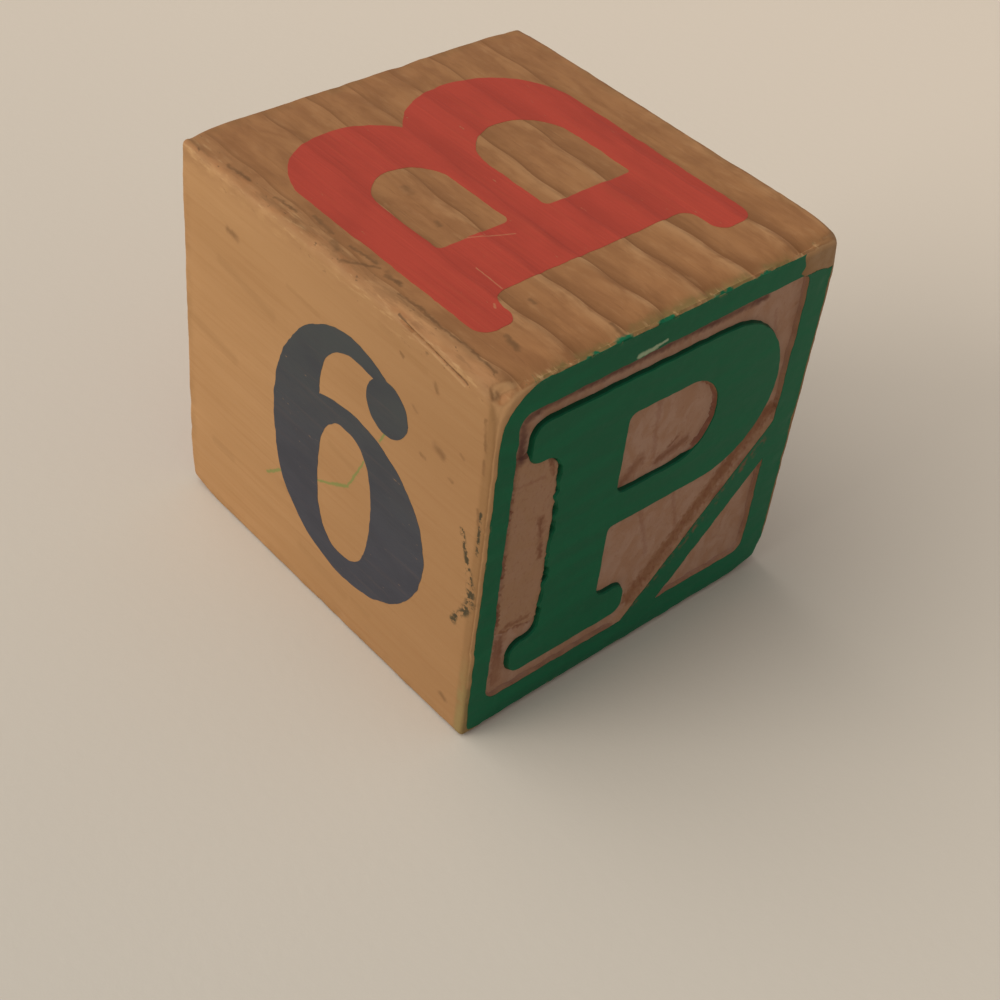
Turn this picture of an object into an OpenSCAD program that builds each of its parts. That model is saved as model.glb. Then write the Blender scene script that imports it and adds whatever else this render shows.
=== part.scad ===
// Alphabet block cut from square wooden stock. The grain runs along X.
// +X and -X are end grain, each with a raised letter inside a raised border.
// The top, the bottom, +Y and -Y are side grain with flat prints.
// The block stands on its bottom face, and the origin is at the middle of that face.

/* [Block] */
// Length of the block, along the grain
cut_length = 48.4; // [42:0.1:58]
// Width and height of the square stock
stock_side = 44.4; // [38:0.1:54]
// Radius of the sanded and worn edges
edge_radius = 1; // [0.5:0.1:2.5]
// How far each corner is worn back, along the block's long diagonal
corner_wear = 1.8; // [1.2:0.1:3.5]

/* [Coats] */
// Thickness of a coat of ink or paint
coat_thickness = 0.15; // [0.1:0.01:0.3]

/* [Relief ends] */
// Depth of the cut round the raised parts
relief_depth = 0.5; // [0.4:0.1:2]
// Bare strip between the rounded edge and the border
border_inset = 0.2; // [0.1:0.1:1.2]
// Width of the raised border
border_width = 2.4; // [1.4:0.1:3.2]
// Radius of the border's outer corners
border_outer_radius = 2.2; // [0.5:0.1:4]
// Radius of the border's inner corners
border_inner_radius = 1.4; // [0.5:0.1:2.5]
// Clear space above and below a raised letter, inside the border
raised_letter_margin = 2.3; // [1.9:0.1:5]
// Width of the diagonal bar that fills a letter's empty corner
bar_width = 4.1; // [2:0.1:4.6]
// Distance from the border's inner corner to the middle of the bar, along the border
bar_reach = 15.8; // [12:0.1:18]

/* [Prints] */
// Clear space above and below a printed letter, when it is centred
letter_margin = 5; // [3.5:0.1:9]
// How far the letter on the top sits above the middle of its face
letter_rise = 1; // [0:0.1:2]
// Clear space above and below the printed number
number_margin = 6.8; // [4:0.1:10]
// How far the number sits to the right of the middle of its face
number_shift = 4.1; // [0:0.1:6]
// Radius of the circle through the star's points
star_radius = 15; // [8:0.1:17]
// Radius of the star's blunt tips
star_tip_radius = 0.8; // [0.2:0.1:1.5]

/* [Hidden] */

$fn = 64;

// Extra length of every cut past the surface that it opens
overrun = 1;
// Turn between two points of a rounded corner, in degrees
corner_step = 10;
// Number of points round an oval
oval_points = 60;

// Turns that stand a flat drawing on each face, its top up or, on top, towards -Y
right_end = [90, 0, 90];
left_end = [90, 0, -90];
front_side = [90, 0, 0];
back_side = [90, 0, 180];
top_side = [0, 0, 180];
bottom_side = [180, 0, 0];

flat_side = stock_side - 2 * edge_radius;
border_outer_side = flat_side - 2 * border_inset;
border_inner_side = border_outer_side - 2 * border_width;
raised_letter_height = border_inner_side - 2 * raised_letter_margin;
letter_height = stock_side - 2 * letter_margin;
number_height = stock_side - 2 * number_margin;
worn_radius = norm([cut_length, stock_side, stock_side]) / 2 - corner_wear;

// Outlines below are corners, each as across, up and radius, in shares of the letter's height.
// The middle of the letter's height, and the middle of its face across, are at 0.

letter_p_share = [
    [-0.515, -0.50, 0.05],
    [-0.035, -0.50, 0.04],
    [-0.035, -0.375, 0.05],
    [-0.165, -0.375, 0.04],
    [-0.165, -0.07, 0.02],
    [0.513, -0.07, 0.28],
    [0.513, 0.50, 0.28],
    [-0.535, 0.50, 0.055],
    [-0.535, 0.36, 0.045],
    [-0.41, 0.36, 0.07],
    [-0.41, -0.375, 0.05],
    [-0.515, -0.375, 0.045]
];
counter_p_share = [
    [-0.155, 0.055, 0.04],
    [0.24, 0.055, 0.15],
    [0.24, 0.365, 0.15],
    [-0.155, 0.365, 0.03]
];

letter_l_share = [
    [-0.45, -0.50, 0.05],
    [0.42, -0.50, 0.045],
    [0.42, -0.20, 0.05],
    [0.30, -0.20, 0.05],
    [0.26, -0.36, 0.06],
    [-0.08, -0.36, 0.04],
    [-0.08, 0.375, 0.035],
    [-0.01, 0.375, 0.03],
    [-0.01, 0.50, 0.05],
    [-0.45, 0.50, 0.05],
    [-0.45, 0.375, 0.045],
    [-0.335, 0.375, 0.05],
    [-0.335, -0.375, 0.05],
    [-0.45, -0.375, 0.045]
];

// Stem of the printed letters, with a serif on its left at the head and the foot
stem_share = [
    [-0.50, -0.50, 0.055],
    [0.10, -0.50, 0],
    [0.10, 0.50, 0],
    [-0.495, 0.50, 0.05],
    [-0.495, 0.375, 0.045],
    [-0.37, 0.375, 0.06],
    [-0.37, -0.36, 0.05],
    [-0.50, -0.36, 0.045]
];

lower_lobe_b_share = [
    [0, -0.50, 0],
    [0.535, -0.50, 0.28],
    [0.535, 0.09, 0.28],
    [0, 0.09, 0]
];
upper_lobe_b_share = [
    [0, 0, 0],
    [0.50, 0, 0.24],
    [0.50, 0.50, 0.24],
    [0, 0.50, 0]
];
lower_counter_b_share = [
    [-0.135, -0.36, 0.015],
    [0.275, -0.36, 0.16],
    [0.275, -0.035, 0.16],
    [-0.135, -0.035, 0.02]
];
upper_counter_b_share = [
    [-0.135, 0.10, 0.02],
    [0.24, 0.10, 0.12],
    [0.24, 0.35, 0.12],
    [-0.135, 0.35, 0.015]
];

lobe_d_share = [
    [0, -0.50, 0],
    [0.51, -0.50, 0.46],
    [0.51, 0.50, 0.46],
    [0, 0.50, 0]
];
counter_d_share = [
    [-0.135, -0.37, 0.02],
    [0.28, -0.37, 0.34],
    [0.28, 0.37, 0.34],
    [-0.135, 0.37, 0.02]
];

// Ovals of the number, each as its middle and half size, in shares of the number's height
number_back_share = [0, 0, 0.395, 0.50];
number_hook_share = [0.035, 0.18, 0.19, 0.25];
number_ball_share = [0.18, 0.35, 0.10, 0.10];
number_bowl_share = [0.01, -0.14, 0.39, 0.36];
number_counter_share = [-0.01, -0.135, 0.14, 0.27];
// Bend of an oval: 2 is an ellipse, and more is squarer
ellipse_bend = 2;
square_bend = 2.5;

star_points = 5;
// Radius of the star's inner corners, as a share of star_radius
star_waist_share = 0.45;

// Points of the arc that rounds the corner at one point of an outline
function corner_arc(before, at, after, radius) =
    let (
        back = (before - at) / norm(before - at),
        ahead = (after - at) / norm(after - at),
        half = acos(back * ahead) / 2,
        middle = at + (back + ahead) / norm(back + ahead) * radius / sin(half),
        first = at + back * radius / tan(half) - middle,
        start = atan2(first.y, first.x),
        sweep = (cross(back, ahead) > 0 ? -1 : 1) * (180 - 2 * half),
        steps = ceil(abs(sweep) / corner_step)
    )
    radius == 0
        ? [at]
        : [
            for (i = [0 : steps])
                let (angle = start + sweep * i / steps)
                middle + radius * [cos(angle), sin(angle)]
        ];

function flat(corner) = [corner[0], corner[1]];

// Outline with its corners rounded, from corners given as across, up and radius
function rounded(corners) =
    let (n = len(corners))
    [
        for (i = [0 : n - 1])
            each corner_arc(
                flat(corners[(i + n - 1) % n]),
                flat(corners[i]),
                flat(corners[(i + 1) % n]),
                corners[i][2]
            )
    ];

function rounded_square(side, radius) =
    rounded([for (c = [[-1, -1], [1, -1], [1, 1], [-1, 1]]) [c.x * side / 2, c.y * side / 2, radius]]);

function bent(value, bend) = sign(value) * pow(abs(value), 2 / bend);

// Outline of an oval given as its middle and half size
function oval(spec, bend) = [
    for (i = [0 : oval_points - 1])
        let (angle = 360 * i / oval_points)
        [spec[0] + spec[2] * bent(cos(angle), bend), spec[1] + spec[3] * bent(sin(angle), bend)]
];

// Rectangle with round corners, all arcs exact
module rounded_section(size, radius) {
    square([size.x - 2 * radius, size.y], center = true);
    square([size.x, size.y - 2 * radius], center = true);
    for (x = [-1, 1], y = [-1, 1])
        translate([x * (size.x / 2 - radius), y * (size.y / 2 - radius)])
            circle(radius);
}

// Outer form: rounded along all twelve edges, with the corners worn back
module worn_stock() {
    translate([0, 0, stock_side / 2])
        intersection() {
            rotate(right_end)
                linear_extrude(cut_length, center = true)
                    rounded_section([stock_side, stock_side], edge_radius);
            rotate(front_side)
                linear_extrude(stock_side, center = true)
                    rounded_section([cut_length, stock_side], edge_radius);
            linear_extrude(stock_side, center = true)
                rounded_section([cut_length, stock_side], edge_radius);
            sphere(worn_radius, $fn = 180);
        }
}

// Slab of a drawing, let in below the face that is reach away from the middle of the block
module let_in(turn, reach, depth, extra = 0) {
    translate([0, 0, stock_side / 2])
        rotate(turn)
            translate([0, 0, reach - depth])
                linear_extrude(depth + extra)
                    children();
}

module coat_on_end(turn) {
    let_in(turn, cut_length / 2, coat_thickness) children();
}

module coat_on_side(turn) {
    let_in(turn, stock_side / 2, coat_thickness) children();
}

module pocket_in_side(turn) {
    let_in(turn, stock_side / 2, coat_thickness, overrun) children();
}

module letter_p() {
    difference() {
        polygon(rounded(raised_letter_height * letter_p_share));
        polygon(rounded(raised_letter_height * counter_p_share));
    }
}

module letter_l() {
    polygon(rounded(raised_letter_height * letter_l_share));
}

module letter_b() {
    translate([0, letter_rise])
        difference() {
            union() {
                polygon(rounded(letter_height * stem_share));
                polygon(rounded(letter_height * lower_lobe_b_share));
                polygon(rounded(letter_height * upper_lobe_b_share));
            }
            polygon(rounded(letter_height * lower_counter_b_share));
            polygon(rounded(letter_height * upper_counter_b_share));
        }
}

module letter_d() {
    difference() {
        union() {
            polygon(rounded(letter_height * stem_share));
            polygon(rounded(letter_height * lobe_d_share));
        }
        polygon(rounded(letter_height * counter_d_share));
    }
}

// A round back and hook that end in a ball, and a bowl that closes on the back
module number_6() {
    translate([number_shift, 0])
        difference() {
            union() {
                difference() {
                    polygon(oval(number_height * number_back_share, ellipse_bend));
                    polygon(oval(number_height * number_hook_share, square_bend));
                    translate([number_height * number_hook_share[0], -number_height])
                        square(number_height * [1, 1 + number_ball_share[1]]);
                }
                polygon(oval(number_height * number_ball_share, ellipse_bend));
                polygon(oval(number_height * number_bowl_share, ellipse_bend));
            }
            polygon(oval(number_height * number_counter_share, square_bend));
        }
}

module star() {
    polygon(rounded([
        for (i = [0 : 2 * star_points - 1])
            let (
                radius = i % 2 == 0 ? star_radius : star_radius * star_waist_share,
                angle = 90 + 180 * i / star_points
            )
            [radius * cos(angle), radius * sin(angle), star_tip_radius]
    ]));
}

// Diagonal bar across the lower right corner inside the border, turned to the wanted corner
module corner_bar(turn) {
    from_middle = (border_inner_side - bar_reach) / 2;
    intersection() {
        square(border_inner_side + border_width, center = true);
        rotate(turn)
            translate([from_middle, -from_middle])
                rotate(45)
                    square([3 * bar_reach, bar_width], center = true);
    }
}

module border_and_bar(turn) {
    difference() {
        polygon(rounded_square(border_outer_side, border_outer_radius));
        polygon(rounded_square(border_inner_side, border_inner_radius));
    }
    corner_bar(turn);
}

// Everything that is cut away from one end: the coat's thickness from the whole panel,
// and the full depth between the border, the bar and the letter
module relief_cut(turn, bar_turn) {
    let_in(turn, cut_length / 2, coat_thickness, overrun)
        polygon(rounded_square(border_outer_side, border_outer_radius));
    let_in(turn, cut_length / 2, relief_depth, overrun)
        difference() {
            polygon(rounded_square(border_inner_side, border_inner_radius));
            corner_bar(bar_turn);
            children();
        }
}

module wood_block() {
    color("burlywood")
        difference() {
            worn_stock();
            relief_cut(right_end, 0) letter_p();
            relief_cut(left_end, 90) letter_l();
            pocket_in_side(top_side) letter_b();
            pocket_in_side(front_side) number_6();
            pocket_in_side(back_side) letter_d();
            pocket_in_side(bottom_side) star();
        }
}

module red_letter_b() {
    color("firebrick") coat_on_side(top_side) letter_b();
}

module blue_numeral_6() {
    color("dimgray") coat_on_side(front_side) number_6();
}

module green_frame() {
    color("darkgreen") coat_on_end(right_end) border_and_bar(0);
}

module green_letter_p() {
    color("darkgreen") coat_on_end(right_end) letter_p();
}

module red_frame() {
    color("firebrick") coat_on_end(left_end) border_and_bar(90);
}

module red_letter_l() {
    color("firebrick") coat_on_end(left_end) letter_l();
}

module blue_letter_d() {
    color("dimgray") coat_on_side(back_side) letter_d();
}

module green_star() {
    color("darkgreen") coat_on_side(bottom_side) star();
}

wood_block();
red_letter_b();
blue_numeral_6();
green_frame();
green_letter_p();
red_frame();
red_letter_l();
blue_letter_d();
green_star();
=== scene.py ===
import math
from collections import namedtuple
from functools import reduce
from itertools import product

import bpy
import numpy as np
from mathutils import Matrix, Vector, geometry, kdtree


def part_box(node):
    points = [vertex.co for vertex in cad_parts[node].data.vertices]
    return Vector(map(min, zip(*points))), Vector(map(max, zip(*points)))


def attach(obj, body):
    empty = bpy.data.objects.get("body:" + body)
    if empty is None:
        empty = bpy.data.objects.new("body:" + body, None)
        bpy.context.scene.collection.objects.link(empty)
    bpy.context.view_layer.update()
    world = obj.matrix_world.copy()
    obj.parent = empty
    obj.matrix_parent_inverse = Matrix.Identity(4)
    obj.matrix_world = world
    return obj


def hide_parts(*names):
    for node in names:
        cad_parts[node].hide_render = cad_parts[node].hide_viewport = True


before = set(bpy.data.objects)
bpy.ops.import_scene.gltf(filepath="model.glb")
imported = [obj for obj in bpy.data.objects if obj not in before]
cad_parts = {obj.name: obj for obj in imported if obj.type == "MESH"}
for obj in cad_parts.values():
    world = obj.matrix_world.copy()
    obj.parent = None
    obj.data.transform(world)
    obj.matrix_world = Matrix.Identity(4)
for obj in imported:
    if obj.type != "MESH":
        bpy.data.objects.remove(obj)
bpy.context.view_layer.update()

# Sizes are in millimetres from the middle of the block, and those of the stage are in metres.
MM = 0.001
WOOD_LOW, WOOD_HIGH = (np.array(corner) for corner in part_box("wood_block"))
HALF = (WOOD_HIGH - WOOD_LOW) / 2 / MM
MIDDLE = (WOOD_HIGH + WOOD_LOW) / 2

# Mesh spacing
LATTICE = 0.175
LATTICE_JITTER = 0.16
OUTLINE_SPACING = 0.27
SIDE_SPACING = 0.3
EDGE_ZONE = 2.4
CLEAR_OF_OUTLINE = 0.16

# Turn in degrees at which the shading of a piece breaks
SHARP_FROM = 38

# Worn edges and corners: how round each is, named by the sides that meet there
EDGE_RADIUS = 0.42
EDGE_RADII = {
    (0, -1, 1): 1.25, (1, -1, 0): 0.5, (1, 0, 1): 0.5, (1, 1, 0): 0.5, (1, 0, -1): 0.8,
    (-1, -1, 0): 0.5, (-1, 0, 1): 0.15, (0, 1, 1): 0.3, (0, -1, -1): 0.25
}
EDGE_REACH = 1.8
CORNER_RADIUS = 1.4
CORNER_RADII = {
    (1, 1, 1): 1.5, (1, 1, -1): 2.4, (1, -1, -1): 0.5, (1, -1, 1): 2.8, (-1, -1, 1): 0.8, (-1, 1, 1): 0.7
}
CORNER_REACH = 3.0
# How far the worn skin lies inside the plain box, before its unevenness
SKIN_INSET = 0.05
# Wear along the edges fades between these distances. Wear and unevenness: height, cell and seed
EDGE_WEAR_REACH = (0.6, 3.2)
EDGE_WEAR = ((0.035, 2.6, 22), (0.03, 0.9, 23))
UNEVENNESS = ((0.02, (7, 1.6, 1.6), 24), (0.008, (3, 0.6, 0.6), 25), (0.03, 13, 26))
# Wear that slopes the top down toward the raised P
WORN_SLOPE_DEPTH = 0.38
WORN_SLOPE_REACH = 1.3
# Torn edge over the 6
TORN_EDGE_DEPTH = 0.16
TORN_EDGE_REACH = (0.9, 2.4)
TORN_EDGE_CELL = (3.2, 0.7, 0.7)
# Dents: most of them lie near an edge, and these go deeper
DENTS = 90
DENTS_NEAR_EDGES = 0.6
DENT_EDGE_REACH = 1.2
DENT_SIZES = (0.35, 1.3)
DENT_DEPTHS = (0.03, 0.10)
DENT_DEPTH_SHARES = (1.3, 0.6)

# Growth rings, as the places where a ring ends across the top, from the side of the 6 to the back
RING_ENDS = (-33.4, -26.6, -19.9, -12.9, -7.2, -2.4, 3.3, 9.0, 16.0, 22.4, 28.5)
RING_BEND_RADIUS = 75
RING_BEND_MIDDLE = -6
RING_WAVE = 0.35
RING_WAVE_TURN = 0.13
RING_WAVE_START = 0.6
RING_RIPPLE = 0.13
RING_RIPPLE_TURN = (0.85, 0.4)
RING_RIDGE = 0.14
RING_PEAK_SHARE = 0.94

# Relief ends
CUT_DEPTH = 0.48
PLATEAU_DEPTH = 0.14
PAINTED_WALL = 0.2
BARE_WALL = 0.26
TORN_WALL = 1.5
CREVICE_OFFSET = 0.3
CREVICE_WIDTH = 0.16
CREVICE_DEPTH = 0.1
FLOOR_WAVE = 0.05
FLOOR_ROUGHNESS = 0.035
PLATEAU_RIM = (-0.05, 0.3)
PLATEAU_ROUGHNESS = 0.05
TRENCH_DEPTH = 0.06
TRENCH_WIDTH = 0.5

# Coats
INK_THICKNESS = 0.022
PAINT_THICKNESS = 0.045
COAT_SINK = 0.03

# How far each kind of outline wanders, and the length of one swing
BORDER_RAG = (0.09, 1.3)
RAISED_LETTER_RAG = (0.05, 1.5)
PRINT_RAG = (0.08, 1.3)
WORN_CORNER_RAG = (0.12, 0.8)
PLATEAU_RAG = (0.1, 0.7)

Face = namedtuple("Face", "right up out half_right half_up half_out")


def make_face(right, up):
    right, up = np.array(right, float), np.array(up, float)
    out = np.cross(right, up)
    halves = (float(np.abs(axis) @ HALF) for axis in (right, up, out))
    return Face(right, up, out, *halves)


FACES = {
    "top": make_face((-1, 0, 0), (0, -1, 0)),
    "bottom": make_face((1, 0, 0), (0, -1, 0)),
    "front": make_face((1, 0, 0), (0, 0, 1)),
    "back": make_face((-1, 0, 0), (0, 0, 1)),
    "right": make_face((0, 1, 0), (0, 0, 1)),
    "left": make_face((0, -1, 0), (0, 0, 1)),
}


def room_in(face, flat):
    """Distance from each point of a face to the face's edge."""
    return np.minimum(face.half_right - np.abs(flat[:, 0]), face.half_up - np.abs(flat[:, 1]))


def on_box(face, flat):
    """Points of the plain box from points across and up one face."""
    return flat[:, :1] * face.right + flat[:, 1:] * face.up + face.half_out * face.out


def to_metres(points):
    return points * MM + MIDDLE


# Noise

HASH_PRIMES = np.array([73856093, 19349663, 83492791], np.int64)
HASH_SHUFFLE = 1274126177
SEED_PRIME = 7919


def lattice_value(cells, seed):
    mixed = (cells * HASH_PRIMES).sum(axis=1) + seed * SEED_PRIME
    mixed = ((mixed ^ (mixed >> 13)) * HASH_SHUFFLE) & 0x7FFFFFFF
    mixed = ((mixed ^ (mixed >> 15)) * HASH_SHUFFLE) & 0x7FFFFFFF
    return ((mixed >> 7) & 0xFFFF) / 32767.5 - 1


def noise(points, cell, seed):
    """Smooth noise from -1 to 1, with features one cell wide. A cell may be one size or three."""
    grid = np.asarray(points, float) / np.asarray(cell, float)
    if grid.shape[1] == 2:
        grid = np.column_stack([grid, np.zeros(len(grid))])
    base = np.floor(grid).astype(np.int64)
    part = grid - base
    part = part * part * (3 - 2 * part)
    total = np.zeros(len(grid))
    for corner in np.ndindex(2, 2, 2):
        share = np.prod(np.where(corner, part, 1 - part), axis=1)
        total += share * lattice_value(base + np.array(corner), seed)
    return total


def rise(value, low, high):
    """0 below low, 1 above high and a smooth step between."""
    part = np.clip((value - low) / (high - low), 0, 1)
    return part * part * (3 - 2 * part)


# Outlines

def cad_outlines(node, face):
    """Closed outlines of a CAD coat on its outer plane. The coat lies to the left of each."""
    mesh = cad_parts[node].data
    points = (np.array([v.co for v in mesh.vertices]) - MIDDLE) / MM
    flat = np.column_stack([points @ face.right, points @ face.up]).round(3) + 0.0
    outer = points @ face.out > face.half_out - 0.02
    mesh.calc_loop_triangles()
    edges = set()
    for triangle in mesh.loop_triangles:
        corners = [tuple(flat[i]) for i in triangle.vertices]
        if all(outer[i] for i in triangle.vertices):
            edges.update((corners[k], corners[(k + 1) % 3]) for k in range(3))
    following = {a: b for a, b in edges if (b, a) not in edges}
    loops = []
    for start in sorted(following):
        if start not in following:
            continue
        loop, at = [start], following.pop(start)
        while at != start:
            loop.append(at)
            at = following.pop(at)
        loops.append(np.array(loop))
    return loops


def resample(loop, spacing):
    closed = np.vstack([loop, loop[:1]])
    along = np.concatenate([[0], np.cumsum(np.hypot(*np.diff(closed, axis=0).T))])
    count = max(int(round(along[-1] / spacing)), 6)
    at = np.linspace(0, along[-1], count, endpoint=False)
    return np.column_stack([np.interp(at, along, closed[:, k]) for k in (0, 1)])


def way_off(loop):
    """At each point of a loop, the way straight off the coat on its left."""
    ahead = np.roll(loop, -1, axis=0) - np.roll(loop, 1, axis=0)
    return np.column_stack([ahead[:, 1], -ahead[:, 0]]) / np.hypot(*ahead.T)[:, None]


def nudge(loop, amount):
    return loop + way_off(loop) * np.broadcast_to(amount, len(loop))[:, None]


def ragged(loop, rag, seed):
    amount, cell = rag
    return nudge(loop, amount * (noise(loop, cell, seed) + 0.5 * noise(loop, cell / 2.7, seed + 1)))


def refit(loop, old, new):
    """Stretch a loop so that the old left, right, bottom and top become the new ones."""
    old, new = np.reshape(old, (2, 2)), np.reshape(new, (2, 2))
    return new[:, 0] + (loop - old[:, 0]) * (new[:, 1] - new[:, 0]) / (old[:, 1] - old[:, 0])


def inside(points, loops):
    """Which points lie inside an odd number of loops."""
    x, y = points.T
    odd = np.zeros(len(points), bool)
    for loop in loops:
        for (ax, ay), (bx, by) in zip(loop, np.roll(loop, -1, axis=0)):
            if ay != by:
                odd ^= ((ay > y) != (by > y)) & (x < (bx - ax) * (y - ay) / (by - ay) + ax)
    return odd


def distance(points, path, closed=True):
    """Distance from each point to a path."""
    best = np.full(len(points), np.inf)
    ends = np.roll(path, -1, axis=0)
    for a, b in list(zip(path, ends))[:None if closed else -1]:
        step = b - a
        along = np.clip(((points - a) @ step) / max(step @ step, 1e-12), 0, 1)
        gap = points - a - along[:, None] * step
        best = np.minimum(best, (gap * gap).sum(axis=1))
    return np.sqrt(best)


def nearest(points, paths):
    """Distance from each point to the nearest of some closed paths."""
    return np.min([distance(points, path) for path in paths], axis=0)


# Surface of the wood

def ring_place(points):
    """Place among the rings: a measure across the block, bent a little and waved along the grain."""
    x, y, z = points.T
    bend = ((z - RING_BEND_MIDDLE) ** 2 - (HALF[2] - RING_BEND_MIDDLE) ** 2) / (2 * RING_BEND_RADIUS)
    ripple = RING_RIPPLE * np.sin(points[:, :2] @ np.array(RING_RIPPLE_TURN))
    return y + bend + RING_WAVE * np.sin(x * RING_WAVE_TURN + RING_WAVE_START) + ripple


def ring_part(points):
    """0 where a ring starts, rising to 1 where it ends."""
    return np.interp(ring_place(points), RING_ENDS, range(len(RING_ENDS))) % 1


def edge_gap(points):
    """Distance to the nearest edge of the box."""
    return np.sort(HALF - np.abs(points), axis=1)[:, 1]


def edge_radius(points):
    """How round the box is worn near each point: each edge and each corner has its own radius."""
    total, weights = np.full(len(points), 1e-6 * EDGE_RADIUS), np.full(len(points), 1e-6)
    for sides in product((-1, 0, 1), repeat=3):
        if sides.count(0) == 1:
            gap = np.linalg.norm((points - HALF * sides) * np.abs(sides), axis=1)
            weight = np.exp(-(gap / EDGE_REACH) ** 2)
            total += weight * EDGE_RADII.get(sides, EDGE_RADIUS)
            weights += weight
    radius = total / weights * (1 + 0.25 * noise(points, 7, 11))
    for sides in product((-1, 1), repeat=3):
        near = np.exp(-(np.linalg.norm(points - HALF * sides, axis=1) / CORNER_REACH) ** 2)
        radius += (CORNER_RADII.get(sides, CORNER_RADIUS) - radius) * near
    return radius


def random_dents():
    """Places, sizes and depths of shallow dents all over the block, most of them near its edges."""
    draw = np.random.default_rng(41)
    rows = np.arange(DENTS)
    places = draw.uniform(-1, 1, (DENTS, 3)) * HALF
    faces = draw.integers(0, 3, DENTS)
    places[rows, faces] = np.sign(places[rows, faces]) * HALF[faces]
    beside = (faces + 1) % 3
    near_edge = draw.uniform(0, 1, DENTS) < DENTS_NEAR_EDGES
    from_edge = HALF[beside] - draw.uniform(0, DENT_EDGE_REACH, DENTS)
    at_edge = np.sign(places[rows, beside]) * from_edge
    places[rows, beside] = np.where(near_edge, at_edge, places[rows, beside])
    sizes = draw.uniform(*DENT_SIZES, DENTS)
    depths = draw.uniform(*DENT_DEPTHS, DENTS) * np.where(near_edge, *DENT_DEPTH_SHARES)
    return places, sizes, depths


def wear_height(points, outward):
    """Height of the worn skin at each point, from its place on the plain box and the way out there."""
    x, y, z = points.T
    part = ring_part(points)
    ridge = np.where(
        part < RING_PEAK_SHARE, part / RING_PEAK_SHARE, rise(1 - part, 0, 1 - RING_PEAK_SHARE)
    )
    strength = RING_RIDGE * (0.5 + 0.5 * x / HALF[0]) * (1 + 0.3 * noise(points, 9, 21))
    flat_sawn = outward[:, 2] ** 2
    height = (ridge - 1) * strength * flat_sawn
    near_edge = 1 - rise(edge_gap(points), *EDGE_WEAR_REACH)
    for depth, cell, seed in EDGE_WEAR:
        height -= depth * near_edge * (1 + noise(points, cell, seed))
    for swing, cell, seed in UNEVENNESS:
        height += swing * noise(points, cell, seed)
    worn_over = np.exp(-((HALF[0] - x) / WORN_SLOPE_REACH) ** 2) * (z > 0)
    height -= WORN_SLOPE_DEPTH * worn_over * flat_sawn * (1 + 0.3 * noise(points, 3.5, 28))
    torn = 1 - rise(np.hypot(HALF[1] + y, HALF[2] - z), *TORN_EDGE_REACH)
    height -= TORN_EDGE_DEPTH * torn * np.clip(noise(points, TORN_EDGE_CELL, 27) - 0.05, 0, 1)
    for place, size, depth in zip(*random_dents()):
        height -= depth * np.exp(-((points - place) ** 2).sum(axis=1) / size ** 2)
    return height


# The split along the upper edge of the 6's face, with a lifted splinter above it
SPLIT = np.array([(10.0, 21.65), (12.6, 21.35), (15.0, 21.1), (17.5, 20.75), (19.8, 20.35)])
SPLIT_WIDTH = 0.17
SPLIT_DEPTH = 0.3
SPLINTER_RISE = 0.025


def split_height(flat):
    gap = distance(flat, SPLIT, closed=False)
    above = flat[:, 1] > np.interp(flat[:, 0], *SPLIT.T)
    along = rise(flat[:, 0], 9.5, 12) * (1 - rise(flat[:, 0], 19, 21.5))
    groove = -SPLIT_DEPTH * np.exp(-(gap / SPLIT_WIDTH) ** 2)
    splinter = SPLINTER_RISE * above * np.exp(-((gap - 0.7) / 0.5) ** 2)
    return (groove + splinter) * along


def painted_share(loop):
    """How much of the wall round an opening has paint on it: the wall that faces left has little."""
    return 1 - 0.85 * rise(-way_off(loop)[:, 0], 0.2, 0.7)


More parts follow.
